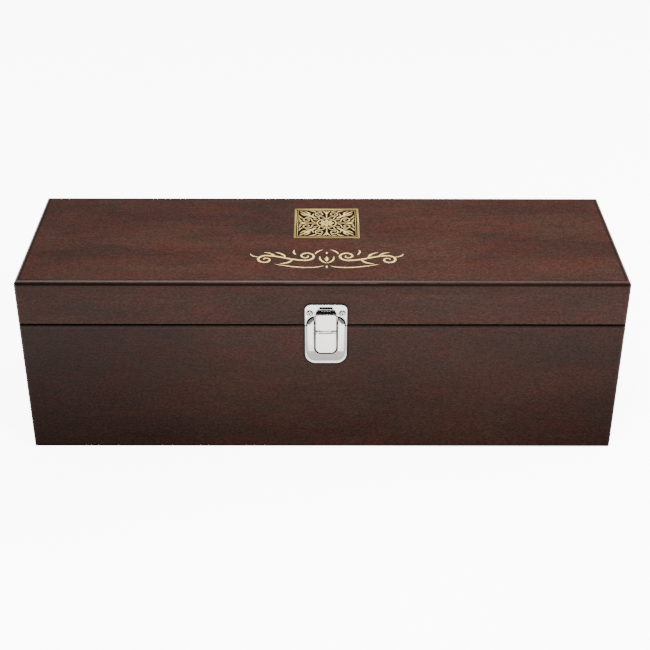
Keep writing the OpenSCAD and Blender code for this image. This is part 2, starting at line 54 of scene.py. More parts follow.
# From a fit to the eight outer corners in the photo
CAM_LENS = 72.70
CAM_SENSOR = 36
CAM_AT = (-0.000872, -0.725267, 0.493652)
CAM_PITCH, CAM_YAW, CAM_ROLL = (math.radians(a) for a in (31.1486, 0.19701, 0.17618))


def make_camera():
    data = bpy.data.cameras.new("camera")
    data.lens = CAM_LENS
    data.sensor_width = CAM_SENSOR
    cam = bpy.data.objects.new("camera", data)
    bpy.context.collection.objects.link(cam)
    fwd = Vector((math.sin(CAM_YAW) * math.cos(CAM_PITCH), math.cos(CAM_YAW) * math.cos(CAM_PITCH),
                  -math.sin(CAM_PITCH)))
    right = Vector((math.cos(CAM_YAW), -math.sin(CAM_YAW), 0))
    up = right.cross(fwd)
    rolled_right = math.cos(CAM_ROLL) * right + math.sin(CAM_ROLL) * up
    rolled_up = -math.sin(CAM_ROLL) * right + math.cos(CAM_ROLL) * up
    pose = Matrix((rolled_right, rolled_up, -fwd)).transposed().to_4x4()
    pose.translation = CAM_AT
    cam.matrix_world = pose
    bpy.context.scene.camera = cam


make_camera()

# ---------- short calls for node trees ----------

# Sockets of the Mix node: its factor and, by kind, the two inputs and the result
MIX_FACTOR = 0
MIX_FLOAT = (2, 3, 0)
MIX_COLOUR = (6, 7, 2)


class Net:
    """A material and its node tree, with short calls to add and join nodes."""

    def __init__(self, name):
        self.mat = bpy.data.materials.new(name)
        self.mat.use_nodes = True
        self.tree = self.mat.node_tree
        self.bsdf = self.tree.nodes["Principled BSDF"]

    def add(self, kind, sets=(), **attrs):
        node = self.tree.nodes.new("ShaderNode" + kind)
        for key, value in attrs.items():
            setattr(node, key, value)
        for key, value in dict(sets).items():
            self.put(node.inputs[key], value)
        return node

    def put(self, socket, value):
        if isinstance(value, bpy.types.NodeSocket):
            self.tree.links.new(value, socket)
        else:
            socket.default_value = value

    def shader(self, **values):
        for key, value in values.items():
            self.put(self.bsdf.inputs[key.replace("_", " ")], value)

    def axes(self, output="Object"):
        """The x, y and z of a texture coordinate."""
        coord = self.add("TexCoord")
        parts = self.add("SeparateXYZ", {"Vector": coord.outputs[output]})
        return [parts.outputs[axis] for axis in "XYZ"]

    def place(self, scale=(1, 1, 1), offset=(0, 0, 0)):
        coord = self.add("TexCoord")
        return self.add("Mapping", {"Vector": coord.outputs["Object"], "Scale": scale,
                                    "Location": offset}).outputs["Vector"]

    def noise(self, vector, scale, detail=3.0, rough=0.5, distort=0.0):
        return self.add("TexNoise", {"Vector": vector, "Scale": scale, "Detail": detail,
                                     "Roughness": rough, "Distortion": distort}).outputs["Fac"]

    def openness(self, reach, samples):
        """1 on open faces, less in gaps and corners within reach."""
        return self.add("AmbientOcclusion", {"Distance": reach}, samples=samples).outputs["AO"]

    def math(self, kind, a, b=0.0):
        node = self.add("Math", operation=kind)
        self.put(node.inputs[0], a)
        self.put(node.inputs[1], b)
        return node.outputs[0]

    def most(self, parts):
        total = parts[0]
        for part in parts[1:]:
            total = self.math("MAXIMUM", total, part)
        return total

    def length(self, a, b):
        """The length of the plane vector (a, b)."""
        squares = [self.math("MULTIPLY", part, part) for part in (a, b)]
        return self.math("SQRT", self.math("ADD", *squares))

    def blend(self, fac, a, b, kind="MIX"):
        node = self.add("Mix", data_type="RGBA", blend_type=kind)
        first, second, result = MIX_COLOUR
        self.put(node.inputs[MIX_FACTOR], fac)
        self.put(node.inputs[first], a)
        self.put(node.inputs[second], b)
        return node.outputs[result]

    def tint(self, base, colour):
        return self.blend(1.0, base, colour, "MULTIPLY")

    def ramp(self, fac, stops):
        node = self.add("ValToRGB", {"Fac": fac})
        elements = node.color_ramp.elements
        while len(elements) < len(stops):
            elements.new(0.5)
        for element, (at, colour) in zip(elements, stops):
            element.position = at
            element.color = (*colour, 1)
        return node.outputs["Color"]

    def remap(self, value, start, end, to_start=0.0, to_end=1.0):
        return self.add("MapRange", {"Value": value, "From Min": start, "From Max": end,
                                     "To Min": to_start, "To Max": to_end}).outputs["Result"]

    def profile(self, value, stops):
        """A share from 0 to 1 along value: stops are (millimetres, share), in order."""
        low, high = stops[0][0], stops[-1][0]
        along = self.remap(value, low * MM, high * MM)
        return self.ramp(along, [((at - low) / (high - low), (share,) * 3) for at, share in stops])

    def bump(self, height, strength, distance):
        return self.add("Bump", {"Height": height, "Strength": strength,
                                 "Distance": distance}).outputs["Normal"]


# ---------- floor, studio and lights ----------

FLOOR_SIZE = 6.0
FLOOR_DROP = 0.0003
# The paper floor: its glow and its diffuse colour for the camera, then its glow in
# reflections, the share of that right at the object and how far this shade reaches,
# and its glow for all other rays
FLOOR_WHITE = 8.0
FLOOR_CATCH = 2.5
FLOOR_GLOSS = 3.0
FLOOR_SHADE = 0.18
FLOOR_SHADE_REACH = 0.13
FLOOR_FILL = 0.08
# How brightly the lights light the paper, so that the studio's white meets the floor's
PAPER_LIT = 0.8
# The studio round it: its glow in reflections and for all other rays
WORLD_GLOSS = 0.2
WORLD_FILL = 0.14


def make_floor():
    size = FLOOR_SIZE
    mesh = bpy.data.meshes.new("floor")
    mesh.from_pydata([(-size, -size, 0), (size, -size, 0), (size, size, 0), (-size, size, 0)],
                     [], [(0, 1, 2, 3)])
    floor = bpy.data.objects.new("floor", mesh)
    floor.location.z = -FLOOR_DROP
    bpy.context.collection.objects.link(floor)
    net = Net("floor_paper")
    path = net.add("LightPath")
    seen = net.add("Emission", {"Color": (1, 1, 1, 1), "Strength": FLOOR_WHITE})
    catch = net.add("BsdfDiffuse", {"Color": (FLOOR_CATCH, FLOOR_CATCH, FLOOR_CATCH, 1)})
    both = net.add("AddShader")
    net.put(both.inputs[0], seen.outputs[0])
    net.put(both.inputs[1], catch.outputs[0])
    # In reflections the paper is darker right at the object, as in its own shade
    over = [net.math("MAXIMUM", net.math("SUBTRACT", net.math("ABSOLUTE", side), half))
            for side, half in zip(net.axes(), HALF_SIZES)]
    shade = net.remap(net.length(*over), 0.0, FLOOR_SHADE_REACH,
                      FLOOR_GLOSS * FLOOR_SHADE, FLOOR_GLOSS)
    mirror = net.add("Emission", {"Color": (1, 0.995, 0.98, 1), "Strength": shade})
    dull = net.add("Emission", {"Color": (1, 0.99, 0.98, 1), "Strength": FLOOR_FILL})
    other = net.add("MixShader", {"Fac": path.outputs["Is Glossy Ray"]})
    net.put(other.inputs[1], dull.outputs[0])
    net.put(other.inputs[2], mirror.outputs[0])
    pick = net.add("MixShader", {"Fac": path.outputs["Is Camera Ray"]})
    net.put(pick.inputs[1], other.outputs[0])
    net.put(pick.inputs[2], both.outputs[0])
    out = net.tree.nodes["Material Output"]
    net.tree.links.new(pick.outputs[0], out.inputs["Surface"])
    mesh.materials.append(net.mat)


def make_world():
    world = bpy.data.worlds.new("studio")
    bpy.context.scene.world = world
    world.use_nodes = True
    tree = world.node_tree
    path = tree.nodes.new("ShaderNodeLightPath")
    first, second, result = MIX_FLOAT
    mixes = []
    for ray in ("Is Glossy Ray", "Is Camera Ray"):
        mix = tree.nodes.new("ShaderNodeMix")
        mix.data_type = "FLOAT"
        tree.links.new(path.outputs[ray], mix.inputs[MIX_FACTOR])
        mixes.append(mix)
    glossy, camera = mixes
    glossy.inputs[first].default_value = WORLD_FILL
    glossy.inputs[second].default_value = WORLD_GLOSS
    tree.links.new(glossy.outputs[result], camera.inputs[first])
    camera.inputs[second].default_value = FLOOR_WHITE + FLOOR_CATCH * PAPER_LIT
    back = tree.nodes["Background"]
    back.inputs["Color"].default_value = (1, 1, 1, 1)
    tree.links.new(camera.outputs[result], back.inputs["Strength"])


def area_light(name, at, target, size, watts, mirrored=True, diffuse=True):
    """mirrored and diffuse say whether gloss shows it and whether it lights dull faces."""
    data = bpy.data.lights.new(name, "AREA")
    data.shape = "RECTANGLE"
    data.size, data.size_y = size
    data.energy = watts
    light = bpy.data.objects.new(name, data)
    light.location = at
    light.rotation_euler = (Vector(target) - Vector(at)).to_track_quat("-Z", "Y").to_euler()
    light.visible_camera = False
    light.visible_glossy = mirrored
    light.visible_diffuse = diffuse
    bpy.context.collection.objects.link(light)
    return light


make_floor()
make_world()
area_light("back_softbox", (0.16, 0.6, 0.95), (0, 0, 0.08), (1.2, 0.3), 4.55)
area_light("front_strip", (0.07, -0.25, 0.40), (0.06, -0.05, 0.06), (0.2, 0.05), 1.5,
           mirrored=False)
area_light("latch_glint", (0.01, -0.27, 0.42), (0.002, -0.06, 0.09), (0.08, 0.05), 0.14,
           diffuse=False)
area_light("front_fill", (0.6, -1.3, 0.8), (0, 0, 0.07), (0.9, 0.6), 1.2)
area_light("left_side", (-1.2, 0.25, 0.35), (-0.15, 0, 0.06), (0.8, 0.5), 8, mirrored=False)
area_light("right_side", (1.2, 0.25, 0.35), (0.15, 0, 0.06), (0.8, 0.5), 9, mirrored=False)

# ---------- wood ----------

# The figure's colours, and what tints them: broad patches, fine lines and pores
WOOD_FIGURE = (0.34, 0.5, 0.66)
WOOD_TONES = [(0.065, 0.0272, 0.0205), (0.079, 0.0318, 0.0232), (0.094, 0.0366, 0.0258)]
WOOD_PATCHES = [(0.36, (0.91, 1.08, 1.04)), (0.5, (1.0, 1.0, 1.0)), (0.64, (1.13, 0.96, 0.93))]
WOOD_LINES = [(0.34, (0.90, 0.90, 0.90)), (0.66, (1.08, 1.08, 1.08))]
WOOD_PORES = [(0.30, (0.58, 0.52, 0.48)), (0.5, (1.0, 1.0, 1.0)), (0.70, (1.46, 1.56, 1.62))]
# Colours of the painted highlights on the lid's upper edge and the seam, and of the painted shade
# beside them and in gaps
WOOD_HIGHLIGHT_COLOUR = (0.20, 0.160, 0.150, 1)
WOOD_SHADE_COLOUR = (0.007, 0.004, 0.003, 1)

# Profiles of (millimetres, share). Those of the edge run across the lid's rounded upper
# edge, from 6 mm down its side to 6 mm in on its top. Those of the seam run up the side.
EDGE_HIGHLIGHT = [(-6, 0), (0.4, 0), (0.8, 0.85), (1.8, 0.85), (2.2, 0), (6, 0)]
EDGE_SHADE = [(-6, 0), (-3.1, 0), (-2.5, 0.8), (0.2, 0.95), (0.5, 0), (2.1, 0), (2.4, 0.7),
              (3.2, 0.7), (3.7, 0), (6, 0)]
SEAM_HIGHLIGHT = [(-3, 0), (-2.5, 0), (-2.3, 0.25), (-2.0, 0.25), (-1.8, 0), (0.45, 0), (0.65, 0.5),
             (1.15, 0.5), (1.35, 0), (3, 0)]
SEAM_SHADE = [(-3, 0), (-2.0, 0), (-1.8, 0.45), (-0.8, 0.35), (-0.55, 0.95), (0.5, 0.95),
              (0.65, 0), (3, 0)]
# Along x: how strong the painted highlight is, and the painted shade of the long walls towards
# their ends
HIGHLIGHT_ALONG = [(-181, 1), (20, 0.8), (70, 0.4), (181, 0.35)]
WALL_SHADE = [(-181, 0.66), (-120, 0.72), (-55, 0.97), (0, 1), (100, 0.98), (165, 0.88),
              (181, 0.82)]
# Faces deeper in the body than this aren't taken for its sides, or for its upper edge
SIDE_DEPTH = 0.0004
EDGE_DEPTH = 0.0007


def wood(name, along, offset, tone=1.0, ends=None):
    """Dark stained wood under gloss lacquer, its grain along x or y. ends shades it along x."""
    net = Net(name)

    def grain(length, width, detail, distort=0.0):
        fine = 1 / width
        scale = (1 / length, fine, fine) if along == "x" else (fine, 1 / length, fine)
        return net.noise(net.place(scale, offset), 1.0, detail, 0.5, distort)

    lines = grain(0.020, 0.0009, 2.0)
    tones = [tuple(c * tone for c in colour) for colour in WOOD_TONES]
    base = net.ramp(grain(0.075, 0.028, 3.0, 0.8), list(zip(WOOD_FIGURE, tones)))
    for fac, stops in ((grain(0.030, 0.013, 3.0, 0.8), WOOD_PATCHES), (lines, WOOD_LINES),
                       (grain(0.0013, 0.0005, 1.0), WOOD_PORES)):
        base = net.tint(base, net.ramp(fac, stops))
    x, y, z = net.axes()
    if ends:
        base = net.tint(base, net.profile(x, ends))

    inset = net.math("MINIMUM", *[net.math("SUBTRACT", half, net.math("ABSOLUTE", side))
                                  for side, half in zip((x, y), HALF_SIZES)])
    down = net.math("SUBTRACT", BODY_TOP, z)
    over_edge = net.math("SUBTRACT", inset, down)
    over_seam = net.math("SUBTRACT", z, SEAM_Z)
    on_edge = net.math("LESS_THAN", net.math("MINIMUM", inset, down), EDGE_DEPTH)
    on_side = net.math("LESS_THAN", inset, SIDE_DEPTH)

    def edge_and_seam(edge_stops, seam_stops):
        return [net.math("MULTIPLY", on_edge, net.profile(over_edge, edge_stops)),
                net.math("MULTIPLY", on_side, net.profile(over_seam, seam_stops))]

    # The lid's upper edge and the seam get painted highlights, between darker lines of painted
    # shade
    highlight = net.most(edge_and_seam(EDGE_HIGHLIGHT, SEAM_HIGHLIGHT))
    highlight = net.math("MULTIPLY", highlight, net.profile(x, HIGHLIGHT_ALONG))
    base = net.blend(highlight, base, WOOD_HIGHLIGHT_COLOUR)
    # Painted shade: darker in gaps and corners within 3 mm, from ambient occlusion, and in lines
    # beside the painted highlights
    crevice_shade = net.remap(net.openness(0.003, 8), 0.82, 0.985, 0.95, 0.0)
    stained = net.most([crevice_shade] + edge_and_seam(EDGE_SHADE, SEAM_SHADE))
    base = net.blend(stained, base, WOOD_SHADE_COLOUR)
    peel = net.noise(net.place(offset=offset), 160.0, 2.0, 0.4)
    net.shader(Base_Color=base, Roughness=0.5, Specular_IOR_Level=0.05, Coat_Weight=1.0,
               Coat_Roughness=0.05, Coat_IOR=1.18, Normal=net.bump(lines, 0.15, 0.00004),
               Coat_Normal=net.bump(peel, 0.1, 0.0002))
    return net.mat


def stained_panel():
    net = Net("stained_panel")
    lines = net.noise(net.place((25, 700, 700)), 1.0, 3.0, 0.6)
    base = net.ramp(lines, [(0.3, (0.035, 0.017, 0.012)), (0.7, (0.085, 0.04, 0.028))])
    net.shader(Base_Color=base, Roughness=0.6, Normal=net.bump(lines, 0.4, 0.0001))
    return net.mat


# ---------- metal ----------

# Colour of the painted shade in the metal's gaps and about its screws
METAL_SHADE_COLOUR = (0.03, 0.028, 0.026, 1)
# Faces that lean down this much, as the z of their normal, get a darker grey as painted shade
LEAN = 0.26
LEAN_FULL, LEAN_NONE = 0.09, 0.15
LEAN_SHARE = 0.5
LEAN_SHADE_COLOUR = (0.2, 0.195, 0.18, 1)

# The keeper's screws on the front, in millimetres: middle, distance from it and height
LATCH_X = 2
SCREW_OUT = 9.65
SCREW_Z = 98.65
# A ring of painted shade about each head and a dot of it in its middle: radius, width and share
RING_FORMS = ((1.75, 0.45, 0.9), (0.0, 1.0, 0.85))
SCREW_SHADE_RINGS = [(LATCH_X + side * SCREW_OUT, SCREW_Z, *form) for side in (-1, 1)
               for form in RING_FORMS]


def screw_shade_ring(net, x, z, radius, wide, share):
    """A soft ring of painted shade about a screw's place on the front."""
    axes = net.axes()
    out = net.length(net.math("SUBTRACT", axes[0], x * MM), net.math("SUBTRACT", axes[2], z * MM))
    off = net.math("ABSOLUTE", net.math("SUBTRACT", out, radius * MM))
    return net.remap(off, wide * MM / 2, wide * MM * 0.75, share, 0.0)


def metal(name, colour, low, high, brush=(900, 900, 90), gap_shade=0.0, rings=()):
    """Plated metal with fine brushing and faint spots. With a share given, its gaps, any rings
    given about screws and its faces that lean down get painted shade.
    """
    net = Net(name)
    streak = net.noise(net.place(brush), 1.0, 2.0, 0.5)
    spots = net.noise(net.place(), 420.0, 3.0, 0.6)
    rough = net.remap(streak, 0.3, 0.7, low, high)
    base = net.ramp(spots, [(0.35, tuple(c * 0.9 for c in colour)), (0.6, colour)])
    if gap_shade:
        # Painted shade in gaps and corners within 3 mm, from ambient occlusion, and in rings about
        # the screws
        gaps = net.remap(net.openness(0.003, 12), 0.5, 0.95, gap_shade, 0.0)
        dark = net.most([gaps] + [screw_shade_ring(net, *ring) for ring in rings])
        # Faces that lean down are painted a darker grey, as shade
        off_lean = net.math("ABSOLUTE", net.math("ADD", net.axes("Normal")[2], LEAN))
        dull = net.remap(off_lean, LEAN_FULL, LEAN_NONE, LEAN_SHARE, 0.0)
        base = net.blend(dull, base, LEAN_SHADE_COLOUR)
        base = net.blend(dark, base, METAL_SHADE_COLOUR)
    net.shader(Base_Color=base, Metallic=1.0, Roughness=rough,
               Normal=net.bump(spots, 0.03, 0.00003))
    return net.mat


# ---------- cloth and gold ----------


def cloth(name, dark, light, sheen, tint):
    """Short-pile velvet or felt."""
    net = Net(name)
    brushed = net.noise(net.place(), 34.0, 2.0, 0.5, 0.2)
    fibre = net.noise(net.place(), 1500.0, 2.0, 0.6)
    mixed = net.math("ADD", net.math("MULTIPLY", brushed, 0.4), net.math("MULTIPLY", fibre, 0.6))
    base = net.ramp(mixed, [(0.38, dark), (0.62, light)])
    net.shader(Base_Color=base, Roughness=0.95, Specular_IOR_Level=0.1, Sheen_Weight=sheen,
               Sheen_Roughness=0.35, Sheen_Tint=(*tint, 1), Normal=net.bump(fibre, 0.5, 0.0002))
    return net.mat


def gold_fill():
    net = Net("gold_fill")
    grit = net.noise(net.place(), 1100.0, 3.0, 0.7)
    base = net.ramp(grit, [(0.36, (0.62, 0.36, 0.07)), (0.56, (1.0, 0.75, 0.29))])
    net.shader(Base_Color=base, Metallic=0.6, Roughness=0.36, Normal=net.bump(grit, 0.9, 0.0001))
    return net.mat


def dark_ground():
    """A dark ground between the gold strokes of the panel."""
    net = Net("dark_ground")
    grit = net.noise(net.place(), 900.0, 3.0, 0.6)
    base = net.ramp(grit, [(0.35, (0.006, 0.003, 0.002)), (0.65, (0.022, 0.011, 0.007))])
    net.shader(Base_Color=base, Roughness=0.7, Specular_IOR_Level=0.1,
               Normal=net.bump(grit, 0.5, 0.00008))
    return net.mat


# ---------- materials of the CAD nodes and of the new pieces ----------

ALONG_BRUSH = (90, 900, 900)
velvet = cloth("velvet", (0.014, 0.013, 0.014), (0.056, 0.051, 0.055), 0.6, (0.5, 0.48, 0.52))
felt = cloth("felt", (0.012, 0.011, 0.011), (0.032, 0.029, 0.028), 0.2, (0.4, 0.4, 0.4))
gold = gold_fill()
ground = dark_ground()

PAINT = [
    (wood("wood_top", "x", (0.3, 1.7, 0.4)), ["lid_top"]),
    (wood("wood_lid", "x", (7.1, 2.6, 1.3), 1.15), ["lid_front", "lid_back"]),
    (wood("wood_lid_end", "y", (3.2, 4.2, 6.1), 1.15), ["lid_left", "lid_right"]),
    (wood("wood_long", "x", (2.1, 0.6, 3.3), ends=WALL_SHADE), ["base_front", "base_back"]),
    (wood("wood_end", "y", (5.2, 0.2, 1.1)), ["base_left", "base_right"]),
    (stained_panel(), ["base_bottom"]),
    (metal("nickel", (0.93, 0.92, 0.88), 0.14, 0.24, gap_shade=0.95, rings=SCREW_SHADE_RINGS),
     ["latch_case", "latch_lever", "latch_claw", "keeper_plate", "latch_case_screws",
      "keeper_screws"]),
    (metal("nickel_soft", (0.74, 0.73, 0.70), 0.22, 0.34, ALONG_BRUSH),
     ["hinge_left_base_leaf", "hinge_left_lid_leaf", "hinge_right_base_leaf",
      "hinge_right_lid_leaf", "hinge_base_screws", "hinge_lid_screws"]),
    (metal("pin_steel", (0.55, 0.54, 0.53), 0.25, 0.4, ALONG_BRUSH),
     ["hinge_left_pin", "hinge_right_pin", "latch_pivot_pin", "latch_claw_pin"]),
]
for material, names in PAINT:
    for name in names:
        for holder in NODES[name].material_slots:
            holder.material = material

# ---------- soft edges on the metal ----------

# Width of the rounding in millimetres; the hinges' base leaves stay as they are
EDGE_WIDTHS = {"latch_case": 0.14, "latch_lever": 0.18, "latch_claw": 0.22, "keeper_plate": 0.09,
               "latch_case_screws": 0.03, "keeper_screws": 0.03, "hinge_left_lid_leaf": 0.08,
               "hinge_right_lid_leaf": 0.08, "hinge_base_screws": 0.05, "hinge_lid_screws": 0.05}
WELD_GAP = 0.000002
FLAT_ANGLE = math.radians(1)
SHARP_ANGLE = math.radians(32)


def soften(node, width):
    """Rounds a solid's sharp edges by modifiers, once its flat faces are whole again."""
    weld = node.modifiers.new("weld", "WELD")
    weld.merge_threshold = WELD_GAP
    flat = node.modifiers.new("flat", "DECIMATE")
    flat.decimate_type = "DISSOLVE"
    flat.angle_limit = FLAT_ANGLE
    bevel = node.modifiers.new("bevel", "BEVEL")
    bevel.width = width * MM
    bevel.segments = 2
    bevel.limit_method = "ANGLE"
    bevel.angle_limit = SHARP_ANGLE
    bevel.use_clamp_overlap = False
    normals = node.modifiers.new("normals", "WEIGHTED_NORMAL")
    normals.weight = 60


for name, width in EDGE_WIDTHS.items():
    soften(NODES[name], width)

# ---------- soft pieces ----------


def add_piece(name, bm, material, body, replaces=()):
    mesh = bpy.data.meshes.new(name)
    bmesh.ops.remove_doubles(bm, verts=bm.verts, dist=1e-7)
    bmesh.ops.recalc_face_normals(bm, faces=bm.faces)
    for face in bm.faces:
        face.smooth = True
    bm.to_mesh(mesh)
    bm.free()
    mesh.materials.append(material)
    piece = bpy.data.objects.new(name, mesh)
    bpy.context.collection.objects.link(piece)
    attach(piece, body)
    if replaces:
        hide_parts(*replaces)
    return piece


# Places of the grid lines within a rounded edge, as shares of its radius
ROUNDING_LINES = [0, 0.2, 0.45, 0.72]


def stations(low, high, radius, step):
    """Places of the grid lines along one side: close together in the rounding, then evenly."""
    flat = high - low - 2 * radius
    count = max(2, round(flat / step))
    middle = [low + radius + flat * i / count for i in range(count + 1)]
    return ([low + radius * share for share in ROUNDING_LINES] + middle
            + [high - radius * share for share in reversed(ROUNDING_LINES)])


def soft_block(low, high, radius, step, shape):
    """A block with rounded edges on an even grid. shape(point, share) says how far each point
    moves, its share going from -1 to 1 along each side of the block."""
    bm = bmesh.new()
    lines = [stations(low[i], high[i], radius, step) for i in range(3)]
    inner_low = [low[i] + radius for i in range(3)]
    inner_high = [high[i] - radius for i in range(3)]

    def put(point):
        core = Vector(min(max(point[i], inner_low[i]), inner_high[i]) for i in range(3))
        out = Vector(point) - core
        if out.length > 1e-9:
            # A face point in the rounding is spread evenly over its 45 degrees
            biggest = max(abs(c) for c in out)
            out = Vector(math.tan(c / biggest * math.pi / 4) for c in out)
            core += out.normalized() * radius
        share = [(core[i] - low[i]) / (high[i] - low[i]) * 2 - 1 for i in range(3)]
        return bm.verts.new(core + Vector(shape(core, share)))

    for axis in range(3):
        a, b = [i for i in range(3) if i != axis]
        for end in (low[axis], high[axis]):
            rows = []
            for va in lines[a]:
                row = []
                for vb in lines[b]:
                    point = [0, 0, 0]
                    point[axis], point[a], point[b] = end, va, vb
                    row.append(put(point))
                rows.append(row)
            for r0, r1 in zip(rows, rows[1:]):
                for i in range(len(r0) - 1):
                    bm.faces.new((r0[i], r0[i + 1], r1[i + 1], r1[i]))
    return bm


def dome(u, v, power=4):
    """1 in the middle of a panel, falling to 0 at its edges."""
    return (1 - abs(u) ** power) * (1 - abs(v) ** power)


BOARD_RADIUS = 0.7 * MM
BOARD_STEP = 0.012
BOARD_SWELL = 0.12 * MM
BOARD_RIPPLE = 0.08 * MM


def board(name, node):
    """A lining board covered in velvet, with a slightly uneven face."""
    low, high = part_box(node)
    thin = min(range(3), key=lambda i: high[i] - low[i])
    a, b = [i for i in range(3) if i != thin]

    def shape(point, share):
        move = [0, 0, 0]
        swell = BOARD_SWELL * (1 - dome(share[a], share[b]))
        ripple = BOARD_RIPPLE * (noise.noise(Vector(point) * 35) + 1) / 2
        move[thin] = -share[thin] * (swell + ripple)
        return move

    bm = soft_block(low, high, BOARD_RADIUS, BOARD_STEP, shape)
    return add_piece(name, bm, velvet, "base", [node])


for side in ("floor", "front", "back", "left", "right"):
    board("velvet_" + side, "liner_" + side)


def lid_cushion():
    """The padded panel in the lid: crowned downwards, its sides drawn in between the corners."""
    low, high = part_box("lid_pad")
    radius, step = 2.4 * MM, 0.005
    crown, ripple_height, pucker_height, draw = 3.0 * MM, 0.35 * MM, 0.25 * MM, 0.9 * MM

    def shape(point, share):
        swell = dome(share[0], share[1], 6) ** 0.7
        down = (1 - share[2]) / 2
        ripple = ripple_height * noise.noise(Vector((point[0] * 22, point[1] * 40, 3)))
        edge = 1 - dome(share[0], share[1], 10)
        pucker = pucker_height * edge * math.sin(point[0] * 520) * math.sin(point[1] * 480 + 1)
        z = down * (crown * (1 - swell) + abs(ripple) * swell + abs(pucker))
        pull = draw * (1 - share[2] ** 2) * (1 - min(abs(share[0]), abs(share[1])) ** 8)
        x = -math.copysign(pull * abs(share[0]) ** 12, share[0])
        y = -math.copysign(pull * abs(share[1]) ** 8, share[1])
        return (x, y, z)

    bm = soft_block(low, high, radius, step, shape)
    piece = add_piece("lid_cushion", bm, velvet, "lid", ["lid_pad"])


lid_cushion()


def fillet(corners, radii, count=5):
    """Rounds the corners of a closed outline in the plane."""
    out = []
    for i, corner in enumerate(corners):
        radius = radii[i]
        here = Vector(corner)
        if radius <= 0:
            out.append(here)
            continue
        to_last = (Vector(corners[i - 1]) - here).normalized()
        to_next = (Vector(corners[(i + 1) % len(corners)]) - here).normalized()
        angle = to_last.angle(to_next)
        reach = radius / math.tan(angle / 2)
        middle = here + (to_last + to_next).normalized() * radius / math.sin(angle / 2)
        start, end = here + to_last * reach - middle, here + to_next * reach - middle
        for k in range(count + 1):
            out.append(middle + (start.lerp(end, k / count)).normalized() * radius)
    return out


# The bottle's middle line is this high, and a saddle's seat ends in a lip of this width
BOTTLE_Z = 54.2 * MM
SEAT_LIP = 1.6 * MM
SEAT_STEPS = 28
# The seat's arc goes on this far, in radians, past where it meets the top
SEAT_OVERRUN = 0.06
SADDLE_CORNER = 2 * MM
# The rounding round both end faces, its steps, and the lengths between them
SADDLE_EDGE = 1.8 * MM
SADDLE_EDGE_STEPS = 5
SADDLE_INNER = 4
# Share of the rounding that is left along the floor, where the foam is pressed flat
FLOOR_KEEP = 0.3


def saddle_outline(low, high, seat):
    """A saddle's face with the round seat in its top, in the plane of y and z."""
    half, floor, top = high[1], low[2], high[2]
    half_seat = math.sqrt(seat ** 2 - (BOTTLE_Z - top) ** 2)
    first = math.atan2(top - BOTTLE_Z, half_seat) - SEAT_OVERRUN
    last = -math.pi - first
    arc = []
    for k in range(SEAT_STEPS + 1):
        angle = first + (last - first) * k / SEAT_STEPS
        arc.append((seat * math.cos(angle), BOTTLE_Z + seat * math.sin(angle)))
    lip = half_seat + SEAT_LIP
    outline = [(-half, floor), (half, floor), (half, top), (lip, top)] + arc
    outline += [(-lip, top), (-half, top)]
    radii = [0, 0, SADDLE_CORNER, 0] + [0] * len(arc) + [0, SADDLE_CORNER]
    return fillet(outline, radii)


def saddle(name, node, seat_r):
    """A foam block covered in velvet with a round seat for the glass and rounded edges."""
    low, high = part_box(node)
    floor = low[2]
    points = saddle_outline(low, high, seat_r * MM)
    count = len(points)
    outward = []
    for i in range(count):
        tangent = points[(i + 1) % count] - points[i - 1]
        outward.append(Vector((tangent.y, -tangent.x)).normalized())

    # Stations along x: each is a place and how far the outline is drawn in there
    r = SADDLE_EDGE
    turns = [math.pi / 2 * k / SADDLE_EDGE_STEPS for k in range(SADDLE_EDGE_STEPS + 1)]
    rounding = [(r * (1 - math.sin(turn)), r * (1 - math.cos(turn))) for turn in turns]
    xs = [(low[0] + dx, inset) for dx, inset in reversed(rounding)]
    xs += [(low[0] + r + (high[0] - low[0] - 2 * r) * k / SADDLE_INNER, 0)
           for k in range(1, SADDLE_INNER)]
    xs += [(high[0] - dx, inset) for dx, inset in rounding]

    bm = bmesh.new()
    loops = []
    for x, inset in xs:
        loop = []
        for point, normal in zip(points, outward):
            keep = FLOOR_KEEP if point.y < floor + 1e-6 else 1.0
            moved = point - normal * inset * keep
            loop.append(bm.verts.new((x, moved.x, max(moved.y, floor))))
        loops.append(loop)
    for a, b in zip(loops, loops[1:]):
        for i in range(count):
            j = (i + 1) % count
            bm.faces.new((a[i], a[j], b[j], b[i]))
    for loop in (loops[0], loops[-1]):
        rim = [e for e in bm.edges if e.verts[0] in loop and e.verts[1] in loop]
        bmesh.ops.triangle_fill(bm, edges=rim, use_beauty=True)
    piece = add_piece(name, bm, velvet, "base", [node])


saddle("velvet_body_saddle", "body_saddle", 38.5)
saddle("velvet_neck_saddle", "neck_saddle", 15.5)


def felt_sheet():
    low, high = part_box("base_felt")
    radius, step, unevenness = 0.3 * MM, 0.01, 0.25 * MM

    def shape(point, share):
        wave = unevenness * noise.noise(Vector(point) * 90)
        x = -abs(wave) * math.copysign(abs(share[0]) ** 40, share[0])
        y = -abs(wave) * math.copysign(abs(share[1]) ** 20, share[1])
        return (x, y, 0)

    bm = soft_block(low, high, radius, step, shape)
    piece = add_piece("felt_sheet", bm, felt, "base", ["base_felt"])


felt_sheet()

# ---------- gold ornament on the lid, drawn in millimetres ----------

LID_TOP = float(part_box("lid_top")[1][2])
SINK = 0.08 * MM
PROUD = 0.07 * MM
SHOULDER = 0.8 * PROUD
# A stroke's section: shares of its half width, and heights over the lid
STROKE_SECTION = ((-1, -SINK), (-1, 0.35 * PROUD), (-0.55, SHOULDER), (0, PROUD),
                  (0.55, SHOULDER), (1, 0.35 * PROUD), (1, -SINK))


